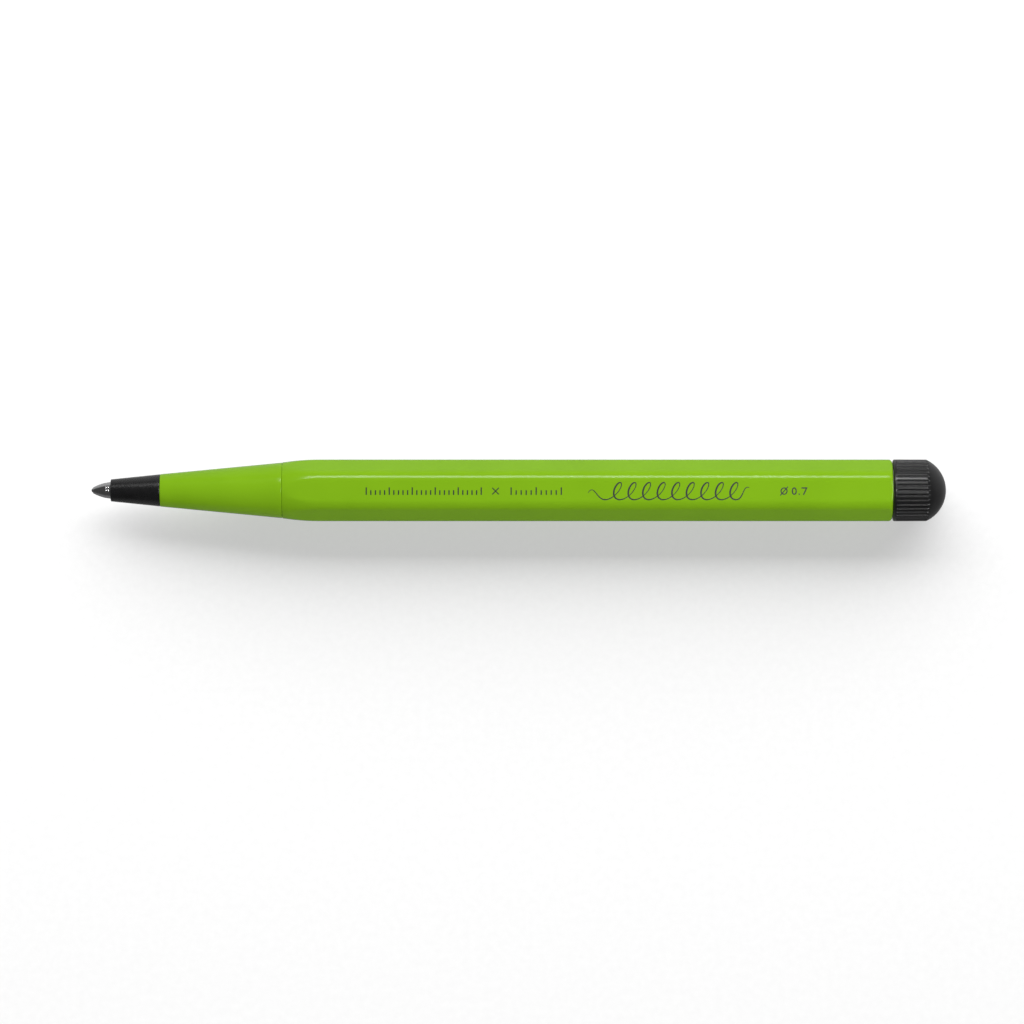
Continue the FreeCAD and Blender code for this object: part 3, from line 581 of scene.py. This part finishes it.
def build_cone():
    """Lacquered cone, with its ring groove and the bare thread behind the rim."""
    profile = rounded([
        (CONE_FRONT, SPIGOT, 0.0, OUTSIDE),
        (CONE_FRONT, CONE_TIP - SET_BACK, CONE_TIP_EDGE, OUTSIDE),
        (SEAM, CONE_BASE, CONE_RIM_EDGE, OUTSIDE),
        (SEAM, RING_FLOOR, 0.0, INSIDE),
    ], closed=False, steps=7)
    stations = []
    for here, ahead in zip(profile, profile[1:]):
        steps = CONE_STEPS if ahead[0] - here[0] > LONG_SIDE else 1
        xs = divided(here[0], ahead[0], steps)
        radii = divided(here[1], ahead[1], steps)
        stations += [(x, radius, here[2]) for x, radius in zip(xs, radii)]
    stations.append(profile[-1])

    groove_end = SEAM + RING_WIDTH
    low = THREAD_ROOT - THREAD_RELIEF
    shoulder = along("tip_holder")[0] + NECK_LENGTH - SHOULDER_GAP
    stations.append((groove_end, RING_FLOOR, INSIDE))
    for x in divided(groove_end, CONE_END, THREAD_RINGS)[1:]:
        bevel = low + min(x - groove_end, CONE_END - x)

        def radius(angle, x=x, bevel=bevel):
            return min(thread_radius(x, angle, 0.0), bevel, THREAD_CREST)
        stations.append((x, radius, INSIDE))
    stations += [
        (CONE_END, low, INSIDE),
        (CONE_END, CONE_BORE, INSIDE),
        (shoulder, CONE_BORE, INSIDE),
        (shoulder - (CONE_BORE - SPIGOT), SPIGOT, INSIDE),
    ]
    piece = loft("cone_shell", stations, even_angles(128), [lacquer, bare_brass])
    return weighted(piece)


cone = build_cone()
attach(cone, "cone")
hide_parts("front_cone")


# ------------------------------------------------------------------ nose
NOSE_FACE_EDGE = 0.14
NOSE_BASE_EDGE = 0.12


def build_nose():
    """Black nose with its bevelled face, guide bore and spigot."""
    step = along("tip_holder")[0] - STEP_GAP
    profile = rounded([
        (NOSE_FRONT, NOSE_BORE, EDGE, 0),
        (NOSE_FRONT, NOSE_FACE - SET_BACK, NOSE_FACE_EDGE, 0),
        (CONE_FRONT, NOSE_BASE, NOSE_BASE_EDGE, 0),
        (CONE_FRONT, SPIGOT, 0.0, 0),
        (NOSE_END, SPIGOT, EDGE, 0),
        (NOSE_END, NECK_BORE, EDGE, 0),
        (step, NECK_BORE, 0.0, 0),
        (step, NOSE_BORE, 0.0, 0),
    ], steps=6)
    piece = loft("nose_shell", profile, even_angles(112), [nose_black])
    return weighted(piece)


nose = build_nose()
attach(nose, "cone")
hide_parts("nose_piece")


# ------------------------------------------------------------------ writing point
RIM_EDGE = 0.03
TIP_LINES = (NOSE_FRONT - 0.62, NOSE_FRONT - 0.28)
TIP_LINE_HALF = 0.07
TIP_LINE_DEPTH = 0.035


def build_point():
    """Turned steel point: its curve from the crimped rim, ball seat, throat and shank."""
    base = BALL_FRONT
    seat = BALL_RADIUS + SEAT_GAP
    rim = TIP_FRONT - base
    rim_inside = math.sqrt(seat ** 2 - (BALL_RADIUS - rim) ** 2)
    curve_end = base + TIP_POINT
    neck = TIP_END - SHANK_LENGTH

    def on_curve(x):
        """The point's curve, with two fine turned lines near the nose."""
        back = curve_end - x
        line = min(abs(x - middle) for middle in TIP_LINES)
        cut = max(1 - line / TIP_LINE_HALF, 0.0) * TIP_LINE_DEPTH
        return TIP_BODY - TIP_OGIVE + math.sqrt(TIP_OGIVE ** 2 - back ** 2) - cut

    # the rim is rolled over the ball
    rim_end = TIP_FRONT + RIM_EDGE
    stations = [
        (TIP_FRONT, rim_inside, 0),
        (TIP_FRONT, rim_inside + RIM_EDGE * 0.4, 0),
        (TIP_FRONT + RIM_EDGE * 0.2, rim_inside + RIM_EDGE, 0),
        (rim_end, on_curve(rim_end) - RIM_EDGE / 3, 0),
    ]
    curve = divided(rim_end + RIM_EDGE, curve_end, 40)
    for middle in TIP_LINES:
        curve += [middle - TIP_LINE_HALF, middle, middle + TIP_LINE_HALF]
    for x in sorted(curve):
        stations.append((x, on_curve(x), 0))
    for x in divided(curve_end, neck - EDGE, 6):
        stations.append((x, TIP_BODY, 0))
    throat_front = base + BALL_RADIUS + math.sqrt(seat ** 2 - TIP_THROAT ** 2)
    throat_end = throat_front + THROAT_LENGTH
    stations += [
        (neck - EDGE, TIP_BODY, 0),
        (neck, TIP_BODY - EDGE, 0),
        (neck, SHANK, 0),
        (TIP_END - EDGE * 2, SHANK, 0),
        (TIP_END, SHANK - EDGE * 2, 0),
        (TIP_END, TIP_BORE, 0),
        (throat_end, TIP_BORE, 0),
        (throat_end, TIP_THROAT, 0),
    ]
    for x in divided(throat_front, TIP_FRONT, 12):
        off = x - base - BALL_RADIUS
        stations.append((x, math.sqrt(seat ** 2 - off ** 2), 0))
    piece = loft("point_shell", stations, even_angles(96), [point_steel])
    return weighted(piece)


tip = build_point()
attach(tip, "refill")
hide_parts("writing_tip")


# ------------------------------------------------------------------ knob
# distances from a flute's middle, round the knob
FLUTE_FLOOR = 0.04
FLUTE_TOP = 0.20
CROWN_FOOT = 0.18              # a rib's crown is rounded between these two distances
CROWN_EDGE = 0.26
CROWN_DROP = 0.005
ACROSS_FLUTE = (FLUTE_FLOOR, 0.09, 0.14, 0.175, 0.21, CROWN_EDGE)
RUN_OUT = 0.10                 # length of a flute's sloping front end
RIB_BLEND = 0.03               # softens the crease where a flute runs out in the dome


def flute_depths():
    """Angles round the knob, closely spaced at each flute, and the depth at each."""
    pitch = TURN * GRIP_RADIUS / FLUTES
    far_side = [pitch - offset for offset in reversed(ACROSS_FLUTE)]
    depths = {}
    for flute in range(FLUTES):
        for offset in (*ACROSS_FLUTE, pitch / 2, *far_side):
            angle = (flute + offset / pitch) * TURN / FLUTES
            side = min(offset, pitch - offset)
            share = 1 - ramp(side, FLUTE_FLOOR, FLUTE_TOP)
            crown = 1 - ramp(side, CROWN_FOOT, CROWN_EDGE)
            smooth = 3 * share ** 2 - 2 * share ** 3
            depths[angle] = FLUTE_DEPTH * smooth + CROWN_DROP * crown ** 2
    return depths


def build_knob():
    """Domed knob with forty rounded ribs."""
    depths = flute_depths()
    angles = list(depths)
    dome_start = KNOB_FRONT + GRIP_LENGTH
    rear = GRIP_RADIUS - GRIP_TAPER
    dome_radius = (rear ** 2 + DOME_HEIGHT ** 2) / (2 * DOME_HEIGHT)
    dome_centre = KNOB_REAR - dome_radius

    def body(x):
        if x > dome_start:
            return math.sqrt(max(dome_radius ** 2 - (x - dome_centre) ** 2, 0.0))
        return GRIP_RADIUS - GRIP_TAPER * (x - KNOB_FRONT) / GRIP_LENGTH

    start = KNOB_FRONT + FLUTE_MARGIN

    def fluted(x):
        plain = body(x)
        share = ramp(x, start, start + RUN_OUT)

        def radius(angle):
            floor = body(min(x, dome_start)) - depths[angle] * share
            return min(plain, soft_min(plain, floor, RIB_BLEND) + RIB_BLEND / 4 * share)
        return radius

    stations = [(KNOB_FRONT, KNOB_RECESS, 0)]
    for angle in quarter(7):
        x = KNOB_FRONT + KNOB_EDGE * (1 - math.cos(angle))
        stations.append((x, body(KNOB_FRONT) - KNOB_EDGE * (1 - math.sin(angle)), 0))
    run_out_end = dome_start + 0.5
    # rings lie close together where the flutes start and where they run out in the dome
    ribs = [start + RUN_OUT * share for share in (0, 0.3, 0.6, 1, 1.6)]
    ribs += divided(start + 0.3, dome_start - 0.1, 8)
    ribs += divided(dome_start - 0.1, run_out_end, 14)
    stations += [(x, fluted(x), 0) for x in ribs]
    low = math.asin((run_out_end - dome_centre) / dome_radius)
    for angle in divided(low, TURN / 4, 22):
        x = dome_centre + dome_radius * math.sin(angle)
        stations.append((x, body(x), 0))
    stations.append((KNOB_REAR, 0, 0))
    recess_end = KNOB_FRONT + KNOB_RECESS_DEPTH
    bore_end = KNOB_FRONT + KNOB_BORE_DEPTH
    hollow = [
        (recess_end, KNOB_RECESS, 0),
        (recess_end, KNOB_STEM, 0),
        (bore_end, KNOB_STEM, 0),
        (bore_end, 0, 0),
    ]
    piece = loft("knob_shell", stations[::-1] + hollow, angles, [knob_black], closed=False)
    return weighted(piece)


knob = build_knob()
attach(knob, "knob")
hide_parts("twist_knob")


# ------------------------------------------------------------------ return spring
def build_spring():
    """Compression spring with its end turns closed up, in round wire."""
    per_turn = 40
    around = even_angles(12)
    closed_turns = 0.9
    closed_pitch = 0.35            # share of the open turns' pitch
    front = SPRING_FRONT + WIRE
    rear = SPRING_REAR - WIRE
    closed = closed_turns * closed_pitch
    open_turns = TURNS - 2 * closed_turns
    whole = open_turns + 2 * closed
    bm = bmesh.new()
    rings = []
    for i in range(TURNS * per_turn + 1):
        turn = i / per_turn
        if turn < closed_turns:
            advance = turn * closed_pitch
        elif turn > TURNS - closed_turns:
            advance = whole - (TURNS - turn) * closed_pitch
        else:
            advance = closed + (turn - closed_turns)
        x = front + (rear - front) * advance / whole
        rings.append([
            bm.verts.new(point(x + WIRE * math.sin(a), COIL + WIRE * math.cos(a), turn * TURN))
            for a in around
        ])
    for first, second in zip(rings, rings[1:]):
        bridge(bm, first, second, 0)
    for ring in (rings[0], rings[-1]):
        bm.faces.new(ring)
    return piece_from("spring_coils", bm, [spring_steel])


spring = build_spring()
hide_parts("return_spring")
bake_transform(spring)


# ------------------------------------------------------------------ print on the upper flat
PRINT_TOP = AXIS + BARREL_FLAT + 0.012
PRINT_FOOT = AXIS + BARREL_FLAT - 0.020
PRINT_LIFT = 0.002             # a stroke climbs this much along its way, where it crosses itself
PRINT_SLOPE = 0.92             # width of the ink's top, as a share of its foot's


def add_stroke(bm, line, widths, closed=False):
    """A thin closed strip of ink along a line of (x, y) points."""
    count = len(line)
    rings = []
    for i, (x, y) in enumerate(line):
        before = line[i - 1] if (closed or i > 0) else line[i]
        after = line[(i + 1) % count] if (closed or i < count - 1) else line[i]
        here = Vector((x, y))
        into = here - Vector(before)
        out = Vector(after) - here
        into = into.normalized() if into.length > 0 else out.normalized()
        out = out.normalized() if out.length > 0 else into
        tangent = (into + out).normalized()
        mitre = 1 / max(tangent.dot(out), 0.5)
        side = Vector((-tangent.y, tangent.x)) * widths[i] / 2 * mitre
        lift = PRINT_LIFT * i / count
        section = (
            (1, PRINT_FOOT),
            (PRINT_SLOPE, PRINT_TOP),
            (-PRINT_SLOPE, PRINT_TOP),
            (-1, PRINT_FOOT),
        )
        ring = []
        for share, z in section:
            where = here + side * share
            ring.append(bm.verts.new(Vector((where.x, where.y, z + lift)) * MM))
        rings.append(ring)
    for first, second in zip(rings, rings[1:]):
        bridge(bm, first, second, 0)
    if closed:
        bridge(bm, rings[-1], rings[0], 0)
    else:
        bm.faces.new(rings[0])
        bm.faces.new(rings[-1])


def strip(name, strokes):
    """A printed piece from (line, width or widths, closed) strokes."""
    bm = bmesh.new()
    for line, width, closed in strokes:
        widths = width if isinstance(width, list) else [width] * len(line)
        add_stroke(bm, line, widths, closed)
    piece = piece_from(name, bm, [print_ink])
    for polygon in piece.data.polygons:
        polygon.use_smooth = False
    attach(piece, "barrel")
    return piece


PRINT_LEVEL = -0.13            # middle of the print, across the flat
MARK_HEIGHT = 1.20
MARK_LINE = 0.21               # width of a stroke
SHORT_TICK = 0.62              # share of a tall tick's height


def tick_row(left, right, count):
    """Even ticks on a common foot, every fifth one tall, as on a plain rule."""
    foot = PRINT_LEVEL - MARK_HEIGHT / 2
    strokes = []
    for i in range(count):
        x = left + MARK_LINE / 2 + (right - left - MARK_LINE) * i / (count - 1)
        height = MARK_HEIGHT if i % 5 == 0 else MARK_HEIGHT * SHORT_TICK
        strokes.append(([(x, foot), (x, foot + height)], MARK_LINE, False))
    return strokes


def cross(middle, half):
    """Two crossing strokes, as a multiplication sign."""
    low = PRINT_LEVEL - half
    high = PRINT_LEVEL + half
    line = 0.17
    return [
        ([(middle - half, low), (middle + half, high)], line, False),
        ([(middle - half, high), (middle + half, low)], line, False),
    ]


strip(
    "print_marks",
    tick_row(-24.1, -5.8, 26) + cross(-3.65, 0.52) + tick_row(-1.3, 6.8, 11),
)


def bezier(p0, p1, p2, p3, count):
    """Points along a cubic curve, without its last one."""
    line = []
    for t in divided(0.0, 1.0, count):
        u = 1 - t
        weights = (u ** 3, 3 * u * u * t, 3 * u * t * t, t ** 3)
        line.append(tuple(
            sum(w * p[axis] for w, p in zip(weights, (p0, p1, p2, p3))) for axis in (0, 1)
        ))
    return line


def loop_line():
    """An even pen-test scribble: a tail, a row of equal loops and a tail."""
    loops = 9
    per_loop = 40
    height = 1.35                  # half a loop's height
    lean = 0.45                    # how far it leans over per mm of height
    swing = 0.95                   # half its width
    left = 13.6
    right = 34.2
    tail_steps = 16
    thin = 0.10                    # width at the ends of the line
    full = 0.21
    advance = (right - left) / loops / TURN
    line = []
    widths = []
    for i in range(loops * per_loop + 1):
        t = TURN * i / per_loop
        y = -height * math.cos(t)
        x = left + advance * t + swing * math.sin(t) + lean * (y + height)
        line.append((x, y + PRINT_LEVEL))
        widths.append(full - 0.08 * math.sin(t))
    first = line[0]
    last = line[-1]
    lead = bezier((10.9, -0.4), (11.9, 1.1), (first[0] - 1.4, first[1]), first, tail_steps)
    tail = bezier(last, (last[0] + 1.3, last[1]), (35.2, 1.2), (36.5, 0.3), tail_steps)
    taper = divided(thin, full, tail_steps)
    line = lead + line + tail[1:]
    widths = taper + widths + taper[:0:-1]
    return line, widths


scribble, scribble_widths = loop_line()
strip("print_loops", [(scribble, scribble_widths, False)])


def oval(middle, width):
    """Points round an oval as tall as the print."""
    half = (width - MARK_LINE) / 2
    tall = (MARK_HEIGHT - MARK_LINE) / 2
    return [
        (middle + half * math.cos(angle), PRINT_LEVEL + tall * math.sin(angle))
        for angle in even_angles(24)
    ]


def size_mark():
    """The ball's diameter, 0.7, after a diameter sign."""
    sign, zero, dot, seven = 41.75, 43.35, 44.13, 44.9
    low = PRINT_LEVEL - MARK_HEIGHT / 2
    high = PRINT_LEVEL + MARK_HEIGHT / 2
    bar = high - MARK_LINE / 2
    return [
        (oval(sign, 1.15), MARK_LINE * 0.9, True),
        ([(sign - 0.6, low - 0.08), (sign + 0.6, high + 0.08)], MARK_LINE * 0.8, False),
        (oval(zero, 0.82), MARK_LINE, True),
        ([(dot, low), (dot, low + MARK_LINE)], MARK_LINE, False),
        ([(seven - 0.4, bar), (seven + 0.4, bar), (seven - 0.1, low)], MARK_LINE, False),
    ]


strip("print_size", size_mark())


# ------------------------------------------------------------------ floor, light and camera
def build_floor():
    """A pale table top with a faint glow of its own, as on a light table."""
    bm = bmesh.new()
    bmesh.ops.create_grid(bm, x_segments=20, y_segments=20, size=2.5)
    material, tree, shader = new_material("pale_floor")
    grain = noise(tree, object_space(tree), 900.0, 3.0)
    pale = tint(tree, grain, (0.29, 0.29, 0.29), (0.31, 0.31, 0.31))
    tree.links.new(pale, shader.inputs["Base Color"])
    shader.inputs["Roughness"].default_value = 0.9
    shader.inputs["Specular IOR Level"].default_value = 0.1
    shader.inputs["Emission Color"].default_value = (1, 1, 1, 1)
    shader.inputs["Emission Strength"].default_value = FLOOR_GLOW
    floor = piece_from("floor", bm, [material])
    floor.visible_glossy = False
    return floor


def area_light(name, tilt, lean, size, size_y, power):
    """A soft panel that faces the pen. Its direction from the pen is turned from straight up, by
    tilt degrees towards +Y and by lean degrees towards +X. The size is in metres."""
    light = bpy.data.lights.new(name, "AREA")
    light.shape = "RECTANGLE"
    light.size = size
    light.size_y = size_y
    light.energy = power
    panel = bpy.data.objects.new(name, light)
    across = math.tan(math.radians(lean))
    direction = Vector((across, math.tan(math.radians(tilt)), 1)).normalized()
    panel.location = direction * PANEL_DISTANCE
    panel.rotation_euler = direction.to_track_quat("Z", "Y").to_euler()
    panel.visible_camera = False
    bpy.context.scene.collection.objects.link(panel)
    return panel


def combine(tree, operation, first, second):
    """A Math node; each side is a number or another node's output."""
    node = add(tree, "ShaderNodeMath", operation=operation)
    for i, value in enumerate((first, second)):
        if isinstance(value, (int, float)):
            node.inputs[i].default_value = value
        else:
            tree.links.new(value, node.inputs[i])
    return node.outputs["Value"]


def eased(tree, value, low, high, at_low, at_high):
    """As mapped, with soft ends."""
    return mapped(tree, value, "SMOOTHSTEP", low, high, at_low, at_high)


def build_world():
    """A dim sky with a soft bright band low down, so that reflections stay dark."""
    world = bpy.data.worlds.new("studio")
    bpy.context.scene.world = world
    world.use_nodes = True
    tree = world.node_tree
    background = tree.nodes["Background"]
    where = add(tree, "ShaderNodeTexCoord")
    split = add(tree, "ShaderNodeSeparateXYZ")
    tree.links.new(where.outputs["Generated"], split.inputs["Vector"])
    # the sky's strength depends on the direction's Y and Z: far side and height
    y = split.outputs["Y"]
    z = split.outputs["Z"]
    band = combine(tree, "MULTIPLY", eased(tree, y, -0.5, 0.5, SKY_NEAR, 1.0), SKY_LOW)
    low = eased(tree, z, 0.15, 0.45, 1.0, 0.0)
    sky = combine(tree, "MAXIMUM", combine(tree, "MULTIPLY", band, low), SKY_HIGH)
    ground = eased(tree, y, -0.4, 0.6, 0.25, 0.6)
    above = eased(tree, z, -0.02, 0.02, 0.0, 1.0)
    below = combine(tree, "SUBTRACT", 1.0, above)
    both = combine(
        tree, "ADD",
        combine(tree, "MULTIPLY", sky, above),
        combine(tree, "MULTIPLY", ground, below),
    )
    tree.links.new(both, background.inputs["Strength"])
    background.inputs["Color"].default_value = (1, 1, 1, 1)


FLOOR_GLOW = 0.52
SKY_LOW = 0.50             # the low band's strength on the far side
SKY_NEAR = 0.25            # the share of it on the near side
SKY_HIGH = 0.08
PANEL_DISTANCE = 0.9       # metres
build_world()
key_panel = area_light("key_panel", tilt=44, lean=0, size=0.26, size_y=0.26, power=3.6)
end_panel = area_light("end_panel", tilt=0, lean=27, size=0.30, size_y=0.30, power=5.8)
floor_panel = area_light("floor_panel", tilt=60, lean=0, size=2.4, size_y=0.66, power=54.0)
floor = build_floor()
# one panel lights the floor alone, and the other two all but the floor
for panels, state in (((floor_panel,), "INCLUDE"), ((key_panel, end_panel), "EXCLUDE")):
    linked = bpy.data.collections.new("floor_" + state.lower())
    linked.objects.link(floor)
    linked.collection_objects[0].light_linking.link_state = state
    for panel in panels:
        panel.light_linking.receiver_collection = linked

# camera straight above the pen, in metres
CAMERA_DISTANCE = 1.08
CAMERA_X = -0.00106
CAMERA_Y = -0.00342
FRAME_WIDTH = 0.1618       # what the picture shows at the pen's axis
camera_data = bpy.data.cameras.new("camera")
camera_data.sensor_width = 36.0
camera_data.lens = camera_data.sensor_width * CAMERA_DISTANCE / FRAME_WIDTH
camera_data.clip_end = 20.0
camera = bpy.data.objects.new("camera", camera_data)
camera.location = (CAMERA_X, CAMERA_Y, AXIS * MM + CAMERA_DISTANCE)
bpy.context.scene.collection.objects.link(camera)
bpy.context.scene.camera = camera
bpy.context.scene.view_settings.view_transform = "Standard"

bpy.context.view_layer.update()
